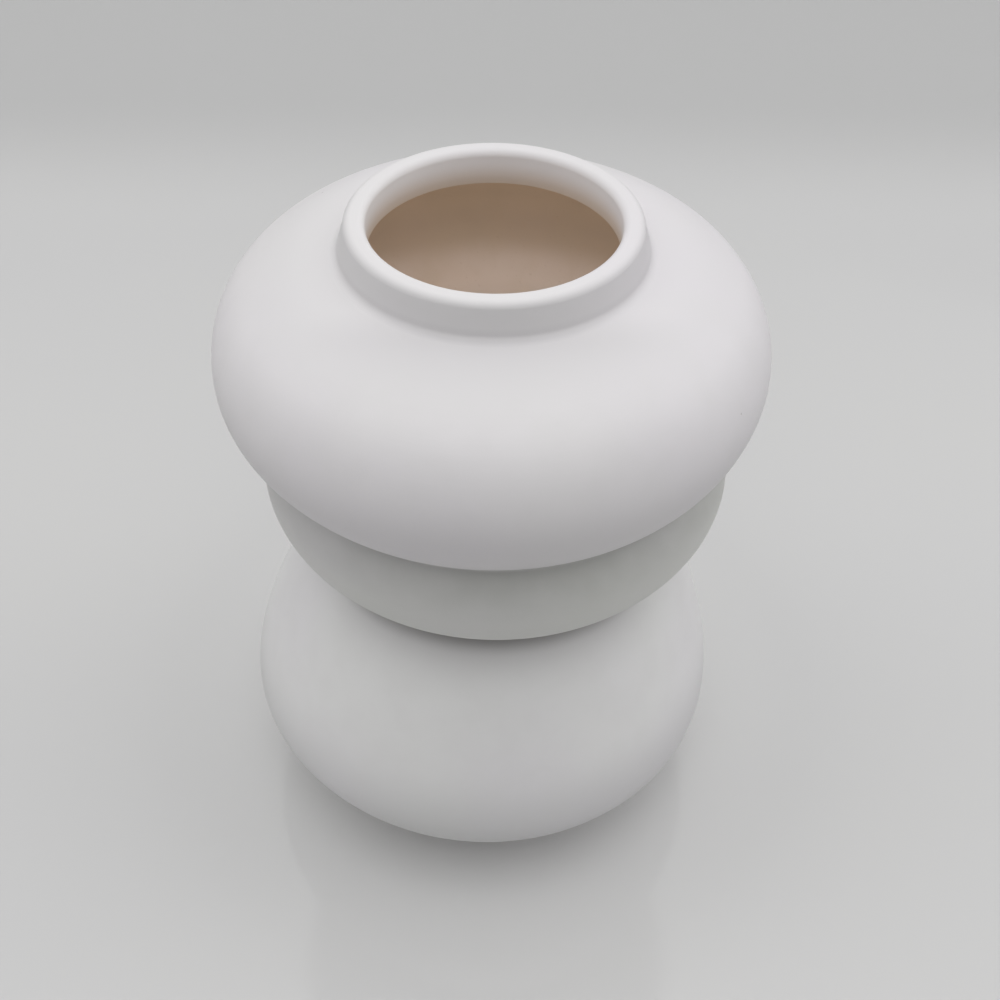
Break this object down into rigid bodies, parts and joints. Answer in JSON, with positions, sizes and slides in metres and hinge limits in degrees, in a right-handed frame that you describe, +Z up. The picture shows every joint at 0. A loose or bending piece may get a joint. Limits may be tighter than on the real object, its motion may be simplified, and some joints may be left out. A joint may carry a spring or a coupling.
{
  "type": "pillow vase",
  "caption": "White ceramic vase of stacked flattened pillow forms on a small turned foot, with a short flat lipped collar neck and a tan glazed hollow.",
  "frame": {"origin": "centre of the foot's underside, on the plane that the vase stands on", "axes": "+Z up along the axis of the vase, X and Y level"},
  "size_m": [0.15, 0.15, 0.2],
  "materials": {
    "matte_white": "matte white, smooth, with faint turning lines",
    "bare_clay": "bare fired clay, sanded",
    "tan_glaze": "satin tan liner glaze"
  },
  "bodies": {
    "root": {"foot_ring": "bare_clay", "lower_pillow": "matte_white", "lower_seam": "matte_white", "middle_pillow": "matte_white", "upper_seam": "matte_white", "upper_pillow": "matte_white", "neck_seam": "matte_white", "neck_collar": "matte_white", "liner_glaze": "tan_glaze"}
  },
  "joints": []
}
